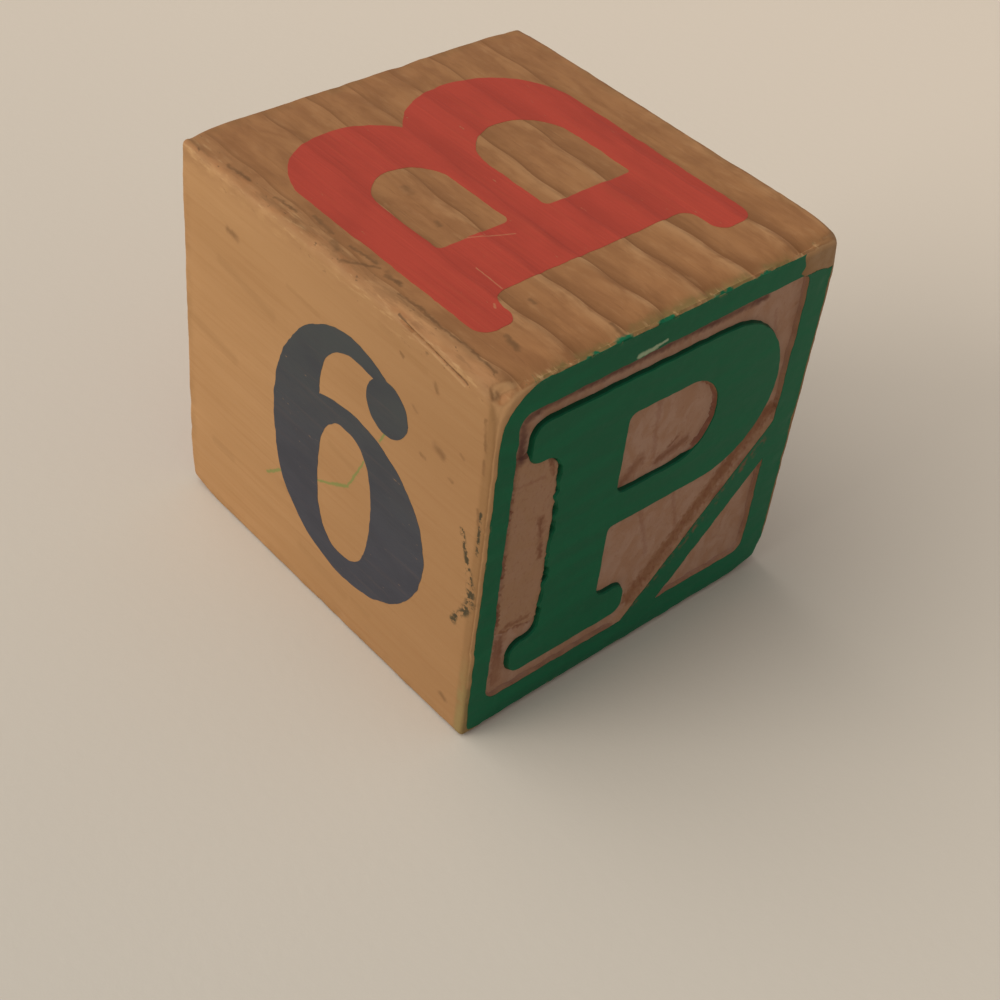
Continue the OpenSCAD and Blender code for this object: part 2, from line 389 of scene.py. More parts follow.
class Relief:
    """One relief end: the raised border with its bar, and the raised letter."""

    def __init__(self, border, letter, bar_edge, plateau, seed):
        self.border = border
        self.letter = letter
        self.bar_edge = bar_edge
        self.plateau = plateau
        self.seed = seed
        self.letter_foot = [nudge(letter[0], PAINTED_WALL)]
        self.letter_foot += [nudge(loop, PAINTED_WALL * painted_share(loop)) for loop in letter[1:]]
        self.border_foot = [nudge(loop, self.bare_wall(loop)) for loop in border[1:]]

    def bare_wall(self, flat):
        """Width of the border's bare wall at each point."""
        return BARE_WALL * (0.9 + 0.5 * noise(flat, 1.3, self.seed))

    def loops(self):
        return self.border + self.letter + self.letter_foot + self.border_foot + self.plateau

    def height(self, flat):
        raised = inside(flat, self.border) | inside(flat, self.letter) | ~inside(flat, self.border[:1])
        to_letter = nearest(flat, self.letter)
        to_bar = distance(flat, self.bar_edge, closed=False)
        rough = noise(flat, 1.1, self.seed + 3) + 0.5 * noise(flat, 0.5, self.seed + 4)
        torn_wall = TORN_WALL * np.clip(0.85 + 0.5 * rough, 0.3, 2)
        part = np.minimum.reduce([
            np.clip(to_letter / PAINTED_WALL, 0, 1),
            np.clip(nearest(flat, self.border) / self.bare_wall(flat), 0, 1) ** 0.8,
            np.clip(to_bar / torn_wall, 0, 1) ** 0.6,
        ])
        depth = CUT_DEPTH + FLOOR_WAVE * noise(flat, 3.1, self.seed + 5) + FLOOR_ROUGHNESS * rough
        if self.plateau:
            depth = self.plateau_depth(flat, depth, to_letter, rough)
        return np.where(raised, 0, -depth * part)

    def plateau_depth(self, flat, depth, to_letter, rough):
        """Depth of the cut with the rough patch left in it, and a shallow trench round the patch."""
        on_plateau = inside(flat, self.plateau)
        to_rim = nearest(flat, self.plateau)
        lift = np.where(on_plateau, rise(to_rim, *PLATEAU_RIM), 0)
        trench = np.where(on_plateau, 0, 1 - rise(to_rim, 0, TRENCH_WIDTH))
        patch = PLATEAU_DEPTH + PLATEAU_ROUGHNESS * (rough + noise(flat, (2.2, 7), self.seed + 6))
        crevice = (to_letter - CREVICE_OFFSET - 0.12 * rough) / CREVICE_WIDTH
        patch += CREVICE_DEPTH * np.exp(-crevice * crevice)
        return depth + (patch - depth) * lift + TRENCH_DEPTH * trench


# Triangles of each face

def side_points(half):
    return np.linspace(-half, half, int(round(2 * half / SIDE_SPACING)) + 1)


def rim(face):
    """Points round the edge of a face, in order."""
    across, upward = side_points(face.half_right), side_points(face.half_up)
    bottom = [(x, -face.half_up) for x in across[:-1]]
    right = [(face.half_right, y) for y in upward[:-1]]
    top = [(x, face.half_up) for x in across[:0:-1]]
    left = [(-face.half_right, y) for y in upward[:0:-1]]
    return np.array(bottom + right + top + left)


def lattice(face, level_at, seed):
    """Triangular lattice inside a face, thinned to every second or fourth point where that will do."""
    row_height = LATTICE * math.sqrt(3) / 2
    rows = int(2 * face.half_up / row_height)
    columns = int(2 * face.half_right / LATTICE)
    b, a = np.mgrid[0:rows + 1, -rows // 2:columns + 1]
    a, b = a.ravel(), b.ravel()
    flat = np.column_stack([a * LATTICE + b * LATTICE / 2, b * row_height])
    flat -= (face.half_right, face.half_up)
    room = room_in(face, flat)
    a, b, flat, room = (array[room > LATTICE] for array in (a, b, flat, room))
    level = level_at(flat, room)
    keep = (a % level == 0) & (b % level == 0)
    flat, level = flat[keep], level[keep]
    draw = np.random.default_rng(seed)
    return flat + draw.uniform(-LATTICE_JITTER, LATTICE_JITTER, flat.shape) * (level * LATTICE)[:, None]


def triangulate(face, loops, level_at, seed):
    """Points and triangles of one face, with every loop among the edges."""
    fixed = [rim(face)] + loops
    tree = kdtree.KDTree(sum(len(loop) for loop in fixed))
    edges, count = [], 0
    for loop in fixed:
        for k, (x, y) in enumerate(loop):
            tree.insert((x, y, 0), count + k)
            edges.append((count + k, count + (k + 1) % len(loop)))
        count += len(loop)
    tree.balance()
    free = [p for p in lattice(face, level_at, seed) if tree.find((p[0], p[1], 0))[2] > CLEAR_OF_OUTLINE]
    given = np.vstack(fixed + [np.array(free)])
    found = geometry.delaunay_2d_cdt([Vector(p) for p in given], edges, [], 0, 1e-5)
    flat = np.array([given[origin[0]] if origin else co for co, origin in zip(found[0], found[3])])
    return flat, np.array([triangle for triangle in found[2] if len(triangle) == 3])


def coarse_levels(flat, room):
    return np.where(room < EDGE_ZONE, 2, 4)


def ring_levels(flat, room):
    """Finer along the ends of the rings on the top."""
    place = ring_place(on_box(FACES["top"], flat))
    near = np.min([np.abs(place - end) for end in RING_ENDS], axis=0)
    return np.where(near < 0.9, 2, coarse_levels(flat, room))


def split_levels(flat, room):
    near = distance(flat, SPLIT, closed=False)
    return np.where(near < 0.7, 1, coarse_levels(flat, room))


def relief_levels(flat, room):
    return np.full(len(flat), 2)


# Outlines as the photo shows them

LETTER_P_RISE = 0.08
LETTER_B_FOOT = 0.6
TRIANGLE_GROWTH = (0.7, -0.3, -0.25, 0.7)
INNER_TOP_SLANT = 0.015
CAD_BORDER_OUTER = 21.0
CAD_BORDER_INNER = 18.6
BORDER_OUTER_FIT = (-21.5, 21.5, -21.6, 21.65)
BORDER_INNER_FIT = (-19.4, 18.2, -18.25, 18.8)
# Corners of the green border that differ from the rest: the side across and up that each is on, how
# far it reaches, and 2 for an arc or more for a squarer corner
BORDER_CORNERS = ((-1, 1, 5.2, 2.0), (-1, -1, 2.2, 6.0))

# Paint that is worn off the corner of the green border
WORN_CORNER = np.array([
    (16.6, 22), (16.5, 21.4), (16.95, 20.4), (16.5, 19.4), (17.5, 18.75),
    (18.8, 18.95), (20.4, 18.6), (22, 18.3), (22, 22)
])
# Raised rough patch left of the stem of the P, where the cutter ran shallow
PLATEAU = np.array([
    (-19.1, 13.2), (-17.6, 13.3), (-16.6, 12.4), (-15.4, 12.2), (-13.5, 10.6), (-13.2, 6.0),
    (-13.2, -6.0), (-13.4, -9.6), (-14.8, -10.3), (-16.2, -9.6), (-17.6, -9.9), (-19.1, -9.4)
])

# Edge of the stem beside that patch, and where its torn stretch starts and ends
STEM_EDGE = -13.4
STEM_REACH = 0.6
TORN_STEM_FOOT = (-10, -8)
TORN_STEM_HEAD = (9, 10.5)


def square_fit(half):
    return (-half, half, -half, half)


def reshape_corner(loop, corner, reach, power):
    """Draw the points of one corner of a loop onto a rounder or a squarer curve."""
    way = np.sign(corner)
    offset = (loop - corner) * way + reach
    beyond = (offset > 0).all(axis=1)
    offset = np.where(beyond[:, None], offset, 1.0)
    size = (offset ** power).sum(axis=1) ** (1 / power)
    return np.where(beyond[:, None], corner + (offset * reach / size[:, None] - reach) * way, loop)


def grow(loop, amounts):
    """Stretch a loop by moving its left, right, bottom and top sides outward."""
    (left, bottom), (right, top) = loop.min(axis=0), loop.max(axis=0)
    to_left, to_right, to_bottom, to_top = amounts
    return refit(loop, (left, right, bottom, top),
                 (left - to_left, right + to_right, bottom - to_bottom, top + to_top))


def border_loops(node, face, outer_fit, inner_fit, corners, seed):
    """Outer outline first, then the outlines of the openings."""
    loops = sorted(cad_outlines(node, face), key=lambda loop: -np.ptp(loop[:, 0]) * np.ptp(loop[:, 1]))
    outer = resample(refit(loops[0], square_fit(CAD_BORDER_OUTER), outer_fit), OUTLINE_SPACING)
    across_ends, upward_ends = np.reshape(outer_fit, (2, 2))
    for across, upward, reach, power in corners:
        corner = np.array([across_ends[int(across > 0)], upward_ends[int(upward > 0)]])
        outer = reshape_corner(outer, corner, reach, power)
    inner = [refit(loop, square_fit(CAD_BORDER_INNER), inner_fit) for loop in loops[1:]]
    if corners:
        inner[0][:, 1] += INNER_TOP_SLANT * inner[0][:, 0] * rise(inner[0][:, 1], 0, inner_fit[3])
        inner[1] = grow(inner[1], TRIANGLE_GROWTH)
    return [ragged(resample(loop, OUTLINE_SPACING), BORDER_RAG, seed + k)
            for k, loop in enumerate([outer] + inner)]


def letter_loops(node, face, shift, rag, seed, foot=0):
    """Outlines of a letter, moved by a shift and with its foot drawn out a little."""
    loops = [resample(loop, OUTLINE_SPACING) + shift for loop in cad_outlines(node, face)]
    if foot:
        low, high = (edge(np.vstack(loops)[:, 1]) for edge in (np.min, np.max))
        loops = [loop - np.outer(foot * (high - loop[:, 1]) / (high - low), (0, 1)) for loop in loops]
    return [ragged(loop, rag, seed + k) for k, loop in enumerate(loops)]


def torn_left_edge(loop):
    """The letter's paint is torn where the rough patch meets the stem."""
    across, upward = loop.T
    along = rise(upward, *TORN_STEM_FOOT) * (1 - rise(upward, *TORN_STEM_HEAD))
    torn = 0.25 * noise(loop, 0.9, 71) + 0.16 * noise(loop, 0.45, 72) - 0.16
    return nudge(loop, (np.abs(across - STEM_EDGE) < STEM_REACH) * along * torn)


def bar_edge(loops, toward):
    """The stretch of the border's largest opening that runs along the bar."""
    reach = loops[1] @ np.array(toward) / math.sqrt(2)
    stretch = loops[1][reach > reach.max() - 0.7]
    return stretch[np.argsort(stretch[:, 0])]


# Pieces

def add_object(name, data):
    made = bpy.data.objects.new(name, data)
    bpy.context.scene.collection.objects.link(made)
    return made


def new_mesh(name, points, triangles):
    mesh = bpy.data.meshes.new(name)
    mesh.from_pydata(to_metres(points).tolist(), [], triangles.tolist())
    mesh.validate()
    mesh.shade_smooth()
    mesh.set_sharp_from_angle(angle=math.radians(SHARP_FROM))
    return add_object(name, mesh)


def shell(points, outward, triangles, thickness):
    """Closed layer over some of the wood's triangles."""
    used, local = np.unique(triangles, return_inverse=True)
    local = local.reshape(-1, 3)
    top = points[used] + outward[used] * thickness
    under = points[used] - outward[used] * COAT_SINK
    edges = np.vstack([local[:, [k, (k + 1) % 3]] for k in range(3)])
    known = set(map(tuple, edges.tolist()))
    rim_edges = np.array([edge for edge in known if edge[::-1] not in known])
    below = rim_edges + len(used)
    walls = np.vstack([
        np.column_stack([rim_edges[:, 1], rim_edges[:, 0], below[:, 0]]),
        np.column_stack([rim_edges[:, 1], below[:, 0], below[:, 1]]),
    ])
    return np.vstack([top, under]), np.vstack([local, local[:, ::-1] + len(used), walls])


def finish_piece(piece, node, material):
    piece.data.materials.append(material)
    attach(piece, "root")
    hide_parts(node)
    return piece


# Materials

# Depths below a face: where its marks end, where its walls start, and how far its cut may reach
MARK_DEPTHS = (1.8, 1.5)
WALL_DEPTHS = (0.22, 0.14)
CUT_REACH = 2


class Graph:
    """A material's nodes, with short names for the ones used here."""

    def __init__(self, name, roughness, specular):
        self.material = bpy.data.materials.new(name)
        self.material.use_nodes = True
        self.tree = self.material.node_tree
        self.shader = self.tree.nodes["Principled BSDF"]
        self.shader.inputs["Specular IOR Level"].default_value = specular
        self.shader.inputs["Roughness"].default_value = roughness
        where = self.tree.nodes.new("ShaderNodeTexCoord")
        metres = self.vector("SUBTRACT", where.outputs["Object"], tuple(MIDDLE))
        self.place = self.scaled(metres, 1 / MM)
        self.x, self.y, self.z = self.parts(self.place)
        self.normal = self.vector("ABSOLUTE", where.outputs["Normal"])
        self.normal_x, self.normal_y, self.normal_z = self.parts(self.normal)

    def put(self, socket, value):
        if isinstance(value, bpy.types.NodeSocket):
            self.tree.links.new(value, socket)
        else:
            socket.default_value = value

    def node(self, kind, inputs, **settings):
        made = self.tree.nodes.new(kind)
        for name, value in settings.items():
            setattr(made, name, value)
        for key, value in inputs.items():
            self.put(made.inputs[key], value)
        return made

    def math(self, operation, *values):
        return self.node("ShaderNodeMath", dict(enumerate(values)), operation=operation).outputs[0]

    def vector(self, operation, *values):
        made = self.node("ShaderNodeVectorMath", dict(enumerate(values)), operation=operation)
        return made.outputs["Value" if operation in ("LENGTH", "DOT_PRODUCT") else "Vector"]

    def scaled(self, vector, amount):
        made = self.node("ShaderNodeVectorMath", {0: vector, "Scale": amount}, operation="SCALE")
        return made.outputs["Vector"]

    def parts(self, vector):
        return self.node("ShaderNodeSeparateXYZ", {0: vector}).outputs

    def rise(self, value, low, high, start=0.0, end=1.0):
        inputs = {"Value": value, "From Min": low, "From Max": high, "To Min": start, "To Max": end}
        return self.node("ShaderNodeMapRange", inputs, interpolation_type="SMOOTHSTEP").outputs[0]

    def mix(self, factor, a, b):
        made = self.node("ShaderNodeMix", {}, data_type="RGBA")
        for key, value in ((0, factor), (6, a), (7, b)):
            self.put(made.inputs[key], (*value, 1) if isinstance(value, tuple) else value)
        return made.outputs[2]

    def layered(self, colour, *layers):
        """Colours laid over each other, each with the masks whose product says where it shows."""
        for over, *masks in layers:
            colour = self.mix(self.both(*masks), colour, over)
        return colour

    def noise(self, per_mm, detail=3.0, roughness=0.6, distortion=0.0):
        """Noise with this many features per millimetre along X, Y and Z."""
        vector = self.vector("MULTIPLY", self.place, per_mm)
        inputs = {"Vector": vector, "Scale": 1.0, "Detail": detail, "Roughness": roughness,
                  "Distortion": distortion}
        return self.node("ShaderNodeTexNoise", inputs).outputs["Fac"]

    def combined(self, operation, *values):
        """The result of one operation, taken from value to value."""
        return reduce(lambda a, b: self.math(operation, a, b), values)

    def both(self, *masks):
        return self.combined("MULTIPLY", *masks)

    def either(self, *masks):
        return self.combined("MAXIMUM", *masks)

    def ring(self):
        """0 where a growth ring starts, rising to 1 where it ends."""
        height = self.math("SUBTRACT", self.z, RING_BEND_MIDDLE)
        bend = self.math("DIVIDE", self.both(height, height), 2 * RING_BEND_RADIUS)
        rest = (HALF[2] - RING_BEND_MIDDLE) ** 2 / (2 * RING_BEND_RADIUS)
        wave = self.math("SINE", self.math("MULTIPLY_ADD", self.x, RING_WAVE_TURN, RING_WAVE_START))
        turn = self.vector("DOT_PRODUCT", self.place, (*RING_RIPPLE_TURN, 0))
        across = self.math("MULTIPLY_ADD", self.math("SINE", turn), RING_RIPPLE, self.y)
        place = self.math("ADD", self.math("MULTIPLY_ADD", wave, RING_WAVE, across), bend)
        low, span = RING_ENDS[0], RING_ENDS[-1] - RING_ENDS[0]
        share = self.math("DIVIDE", self.math("SUBTRACT", place, low + rest), span)
        counted = self.node("ShaderNodeFloatCurve", {"Value": share})
        curve = counted.mapping.curves[0]
        for k, end in enumerate(RING_ENDS[1:-1], 1):
            curve.points.new((end - low) / span, k / (len(RING_ENDS) - 1))
        for point in curve.points:
            point.handle_type = "VECTOR"
        counted.mapping.update()
        return self.math("FRACT", self.math("MULTIPLY", counted.outputs[0], len(RING_ENDS) - 1))

    def edge_gap(self):
        """Distance to the nearest edge: of the distances to the faces, the middle one."""
        gaps = self.parts(self.vector("SUBTRACT", tuple(HALF), self.vector("ABSOLUTE", self.place)))
        least, most, total = (self.combined(kind, *gaps) for kind in ("MINIMUM", "MAXIMUM", "ADD"))
        return self.math("SUBTRACT", total, self.math("ADD", least, most))

    def beside(self, sides, near, far):
        """1 near the edge or the corner where some sides meet, falling to 0 between two distances."""
        offset = self.vector("SUBTRACT", self.place, tuple(HALF * sides))
        gap = self.vector("LENGTH", self.vector("MULTIPLY", offset, tuple(np.abs(sides))))
        return self.rise(gap, near, far, 1.0, 0.0)

    def in_end_cut(self):
        """1 inside the borders of the relief ends."""
        cuts = []
        for name, (left, right, bottom, top) in CUT_AREAS.items():
            face = FACES[name]
            across, upward, outward = (self.vector("DOT_PRODUCT", self.place, tuple(axis))
                                       for axis in (face.right, face.up, face.out))
            room = [(across, left), (right, across), (upward, bottom), (top, upward),
                    (outward, face.half_out - CUT_REACH)]
            least = self.combined("MINIMUM", *(self.math("SUBTRACT", *pair) for pair in room))
            cuts.append(self.rise(least, -0.2, -0.1))
        return self.either(*cuts)

    def on_walls(self):
        """1 below the painted tops of the relief ends."""
        low, high = (HALF[0] - depth for depth in WALL_DEPTHS)
        deep = self.rise(self.math("ABSOLUTE", self.x), low, high, 1.0, 0.0)
        return self.both(deep, self.in_end_cut())

    def marks(self, face, rows, drift_by=0.35, fade=1.3):
        """Thin marks on one face, each from one point to another across and up it, with a half width."""
        across_only = tuple(1 - np.abs(face.out))
        wobble = self.node("ShaderNodeTexNoise", {"Vector": self.place, "Scale": 1.7, "Detail": 2.0})
        drift = self.scaled(self.vector("SUBTRACT", wobble.outputs["Color"], (0.5, 0.5, 0.5)), drift_by)
        flat = self.vector("MULTIPLY", self.vector("ADD", self.place, drift), across_only)
        masks = [self.segment(flat, face, row, fade) for row in rows]
        outward = self.vector("DOT_PRODUCT", self.place, tuple(face.out))
        near = self.rise(outward, *(face.half_out - depth for depth in MARK_DEPTHS))
        return self.both(self.either(*masks), near)

    def segment(self, flat, face, row, fade):
        x0, y0, x1, y1, width = row
        start = x0 * face.right + y0 * face.up
        step = (x1 - x0) * face.right + (y1 - y0) * face.up
        length_squared = max(float(step @ step), 1e-6)
        offset = self.vector("SUBTRACT", flat, tuple(start))
        along = self.vector("DOT_PRODUCT", offset, tuple(step / length_squared))
        along = self.node("ShaderNodeClamp", {"Value": along}).outputs[0]
        nearest = self.scaled(tuple(step), along)
        gap = self.vector("LENGTH", self.vector("SUBTRACT", offset, nearest))
        return self.rise(gap, width * (1.6 - fade), width * fade, 1.0, 0.0)

    def finish(self, colour, height, depth, roughness=None):
        self.put(self.shader.inputs["Base Color"], colour)
        if roughness is not None:
            self.put(self.shader.inputs["Roughness"], roughness)
        bump = self.node("ShaderNodeBump", {"Height": height, "Distance": depth * MM, "Strength": 1.0})
        self.put(self.shader.inputs["Normal"], bump.outputs[0])
        return self.material


WOOD = (0.375, 0.197, 0.079)
WOOD_DEEP = (0.338, 0.173, 0.066)
SIDE_WOOD_PAINTED_SHADE = (0.255, 0.129, 0.050)
FLAT_WOOD = (0.322, 0.144, 0.052)
FLAT_WOOD_DEEP = (0.262, 0.112, 0.040)
LATEWOOD_AND_STEP_SHADE = (0.190, 0.078, 0.026)
PALE_GRAIN_AND_CREST_HIGHLIGHT = (0.440, 0.235, 0.100)
EDGE_GRIME = (0.25, 0.125, 0.045)
TORN_WOOD = (0.290, 0.142, 0.056)
TORN_STREAK = (0.200, 0.094, 0.035)
PALE_FIBRE = (0.46, 0.27, 0.118)
MARK_BROWN = (0.150, 0.070, 0.026)
WORN_CORNER_WOOD = (0.350, 0.205, 0.103)
SPECK = (0.11, 0.055, 0.022)
CUT_FLOOR = (0.390, 0.224, 0.146)
CUT_FLOOR_DEEP = (0.350, 0.182, 0.105)
CUT_WALL = (0.210, 0.068, 0.036)
CUT_STAIN = (0.185, 0.062, 0.028)
CUT_SHADOW_AND_STAIN = (0.138, 0.056, 0.037)
TORN_FIBRE = (0.260, 0.116, 0.055)
PLATEAU_WOOD = (0.350, 0.188, 0.098)
DIRT = (0.030, 0.028, 0.014)
ARRIS_TAN_AND_PAINTED_LIGHT = (0.45, 0.24, 0.102)
ARRIS_PAINTED_SHADE = (0.20, 0.10, 0.036)
OLIVE = (0.215, 0.145, 0.052)
MUSTARD = (0.200, 0.125, 0.040)
PAINT_FLAKE = (0.36, 0.42, 0.25)
PEN_GREEN = (0.09, 0.18, 0.040)
RED_INK = (0.395, 0.049, 0.0265)
BLUE_INK = (0.042, 0.041, 0.047)
UPPER_BLUE_INK = (0.043, 0.045, 0.042)
STAR_INK = (0.026, 0.115, 0.055)
GREEN_PAINT = (0.0056, 0.115, 0.0465)
RED_PAINT = (0.34, 0.032, 0.022)


def chain(points, widths):
    """Marks that run on from each point to the next."""
    return tuple((*a, *b, width) for a, b, width in zip(points[:-1], points[1:], widths))


# Marks: each row is where a mark starts, where it ends and its half width
FRONT_MARKS = (
    (-15.9, 16.1, -14.3, 15.9, 0.42), (15.9, 17.9, 16.3, 17.3, 0.3), (16.7, 11.2, 17.7, 10.9, 0.5),
    (14.8, 9.1, 15.4, 8.9, 0.22), (18.8, 9.0, 19.3, 8.9, 0.16), (11.0, 18.2, 11.4, 18.0, 0.2),
    (13.3, 13.6, 13.8, 13.3, 0.25), (20.0, 12.7, 20.4, 12.5, 0.22), (20.6, -18.6, 21.2, -18.9, 0.35),
    (22.6, 18.4, 23.0, 15.2, 0.2), (23.0, 14.0, 23.1, 12.6, 0.18), (22.9, 8.2, 23.1, 6.2, 0.18)
)
FRONT_FAINT_MARKS = (
    (-17.4, 11.7, -8.4, 10.3, 0.7), (-6.0, 15.3, -1.0, 14.8, 0.35), (-3.0, -16.7, 4.6, -17.8, 0.8),
    (6.0, -17.4, 8.6, -17.6, 0.5), (-19.0, -13.2, -15.8, -13.4, 0.7), (1.4, 0.7, 5.6, 0.1, 0.5),
    (-6.4, -10.2, -3.2, -11.6, 0.5), (-23.0, 1.5, -15.0, 0.6, 0.8), (8.0, 19.4, 14.5, 18.4, 0.5)
)
FRONT_SPECKLES = ((23.3, 8.0, 23.4, 3.0, 0.25),) + chain(
    ((21.2, 4.4), (21.6, 3.2), (22.4, 0.8), (23.0, -1.2), (23.2, -3.6), (22.5, -5.3), (21.6, -6.4),
     (21.2, -7.4)),
    (0.4, 0.35, 0.5, 0.7, 0.65, 0.45, 0.5)
)
SPLIT_MARKS = chain(SPLIT, [0.11] * 4)
SPLINTER_MARKS = chain(SPLIT[1:] - 0.25, [0.14] * 3)
PEN_MARKS = ((8.9, 6.4, 9.6, 7.8, 0.16),) + chain(
    ((-9.2, -10.6), (-7.0, -8.8), (-3.4, -6.6), (-0.1, -5.2), (2.0, -4.1), (4.3, -2.7), (5.4, -0.6),
     (6.7, 2.2)),
    (0.22, 0.14, 0.14, 0.18, 0.26, 0.18, 0.14)
)
TOP_MARKS = (
    (4.1, 9.1, 5.2, 9.0, 0.45), (-15.9, 11.0, -15.3, 11.0, 0.25), (0.4, 20.7, 1.6, 20.2, 0.42),
    (-1.7, 10.3, -1.1, 10.2, 0.3), (-2.2, 18.9, -3.4, 19.0, 0.32), (-4.8, 19.0, -5.5, 19.2, 0.3),
    (-6.5, 19.2, -7.2, 19.3, 0.28), (-23.2, 21.9, -22.8, 21.2, 0.2), (-20.2, 16.8, -18.6, 16.7, 0.25),
    (-23.6, 7.4, -22.0, 7.3, 0.25), (9.6, 6.5, 10.6, 6.4, 0.25)
)
TOP_CRACKS = (
    (5.9, 19.2, 2.8, 19.5, 0.28), (0.2, 19.4, -3.3, 19.0, 0.2), (-1.0, 21.4, -3.9, 19.3, 0.2),
    (-5.2, 19.5, -6.9, 19.2, 0.24), (-8.0, 20.2, -10.7, 19.9, 0.16), (-10.7, 19.9, -13.8, 20.2, 0.22),
    (-13.8, 20.2, -17.8, 20.0, 0.2), (-17.8, 20.0, -21.4, 20.4, 0.22), (-22.2, 21.5, -23.2, 21.9, 0.18),
    (-18.1, 16.3, -19.8, 16.5, 0.3), (10.5, 20.4, 7.4, 20.2, 0.2), (17.6, 20.9, 14.2, 20.7, 0.22)
)
TOP_MUSTARD_MARKS = (
    (-23.8, 5.8, -23.7, -1.6, 0.85), (-23.9, -2.6, -23.8, -8.4, 0.75), (-23.8, 12.6, -23.9, 9.6, 0.6),
    (-24.0, 17.8, -23.7, 14.6, 0.5), (-23.8, -11.5, -23.9, -14.0, 0.6)
)
TOP_GREEN_MARKS = (
    (-24.1, 8.4, -24.0, 6.9, 0.5), (-24.2, 3.2, -24.1, 1.6, 0.35), (-24.2, 12.2, -24.1, 10.8, 0.25),
    (-24.2, -4.0, -24.1, -6.2, 0.3), (-24.2, -10.2, -24.1, -11.4, 0.22)
)
INK_SCRATCHES = (
    (-6.6, 5.2, -4.4, 10.2, 0.09), (-12.6, 12.0, -8.8, 11.9, 0.08), (-14.5, 14.5, -14.0, 14.2, 0.14)
)
TORN_STRIP = ((17.6, 2.0, 0.4, -15.6, 1.05),)
TORN_STRIP_DARK = ((17.2, 1.9, 11.0, -4.0, 0.8),)
CUT_STAINS = (
    (-4.0, 2.6, -1.9, 4.4, 0.8), (0.8, 3.2, 4.6, 4.0, 0.7), (2.2, 4.4, 3.4, 5.1, 0.35),
    (-17.9, -10.6, -17.8, -16.8, 0.6), (-17.8, -8.7, -14.9, -8.9, 0.35), (-18.4, -9.2, -14.4, -10.4, 0.3),
    (-15.0, 4.2, -14.4, -1.2, 0.4), (-14.9, 12.0, -14.2, 9.2, 0.3), (-18.4, -10.8, -18.2, -16.9, 0.45)
)
# Dark strips on the cut floor just under the top border and beside the left serif: painted shadow of the
# raised border, with a stain
CUT_SHADOW_AND_STAIN_MARKS = (
    (-16.4, 17.85, 12.5, 18.1, 0.5), (-18.45, 16.6, -18.4, 12.9, 0.6), (-18.2, 17.2, -16.6, 17.8, 0.5)
)
CUT_STREAKS = (
    (-0.6, 12.4, 0.1, 4.0, 0.35), (-0.4, -2.4, 1.9, -10.0, 0.35), (-18.7, 9.7, -15.4, 9.5, 0.25),
    (4.4, -3.0, 5.8, -8.0, 0.3), (14.6, 15.6, 15.6, 10.6, 0.3)
)
BAR_SCUFFS = ((17.3, -1.9, 0.9, -16.5, 0.6), (17.6, -5.6, 6.6, -16.6, 0.5))
FLAKES = ((-5.4, 19.0, -3.2, 19.1, 0.3), (-3.6, 19.15, -1.9, 19.35, 0.2))
CUT_AREAS = {"right": BORDER_INNER_FIT, "left": square_fit(CAD_BORDER_INNER)}

TOP_GREEN_ARRIS = (1, 0, 1)
FRONT_GREEN_ARRIS = (1, -1, 0)
TORN_ARRIS = (0, -1, 1)
WORN_CORNER_PLACE = (1, 1, 1)
NEAR_CORNER_PLACE = (1, -1, 1)


def wood_material():
    g = Graph("block_wood", roughness=0.62, specular=0.12)
    part = g.ring()
    fibre = g.noise((0.07, 2.0, 2.0))
    broad = g.noise((0.03, 0.17, 0.17), 2.0, 0.5, 0.6)
    blotch = g.noise((0.16, 0.42, 0.42), 3.0, 0.6, 0.5)
    fleck = g.noise((0.30, 4.2, 4.2), 2.0, 0.5)
    fine = g.noise((0.35, 1.0, 1.0), 4.0)
    side = g.layered(
        WOOD_DEEP,
        (WOOD, g.rise(broad, 0.30, 0.70)),
        # Darker toward +X: painted shade of the light falling off along the block
        (SIDE_WOOD_PAINTED_SHADE, g.rise(g.x, -HALF[0], HALF[0], 0.0, 0.75)))
    flat = g.layered(
        FLAT_WOOD_DEEP,
        (FLAT_WOOD, g.rise(blotch, 0.30, 0.66)),
        # Dark band after each ring start, stronger toward +X: partly darker wood, partly painted shade in
        # the low behind each ring's step
        (LATEWOOD_AND_STEP_SHADE, g.rise(part, 0.0, 0.38, 1.0, 0.0), g.rise(g.x, -HALF[0], HALF[0], 0.4, 0.9),
         g.rise(g.y, -20.5, -15.0, 0.25, 1.0), g.rise(blotch, 0.3, 0.7, 1.0, 0.6)),
        # Pale band before each ring end, stronger toward +X: a painted highlight on the ridge crests
        (PALE_GRAIN_AND_CREST_HIGHLIGHT, g.rise(part, 0.62, 0.97), g.rise(g.x, -HALF[0], HALF[0], 0.1, 0.6),
         g.rise(blotch, 0.35, 0.6)),
        (LATEWOOD_AND_STEP_SHADE, g.rise(fine, 0.52, 0.74, 0.0, 0.3)),
        (PALE_GRAIN_AND_CREST_HIGHLIGHT, g.rise(fine, 0.46, 0.26, 0.0, 0.2)),
        (LATEWOOD_AND_STEP_SHADE, g.rise(part, 0.0, 0.09, 1.0, 0.0), g.rise(blotch, 0.32, 0.5, 0.15, 0.6)))
    colour = g.layered(
        side,
        (flat, g.rise(g.normal_z, 0.45, 0.85)),
        (LATEWOOD_AND_STEP_SHADE, g.rise(fibre, 0.45, 0.80, 0.0, 0.14)),
        (SPECK, g.rise(fleck, 0.66, 0.78, 0.0, 0.08)))
    colour = mark_colour(g, cut_colour(g, edge_colour(g, colour)))
    height = g.math("MULTIPLY_ADD", g.rise(fleck, 0.6, 0.8), -0.5, fibre)
    return g.finish(colour, height, 0.03, g.rise(fibre, 0.3, 0.8, 0.56, 0.70))


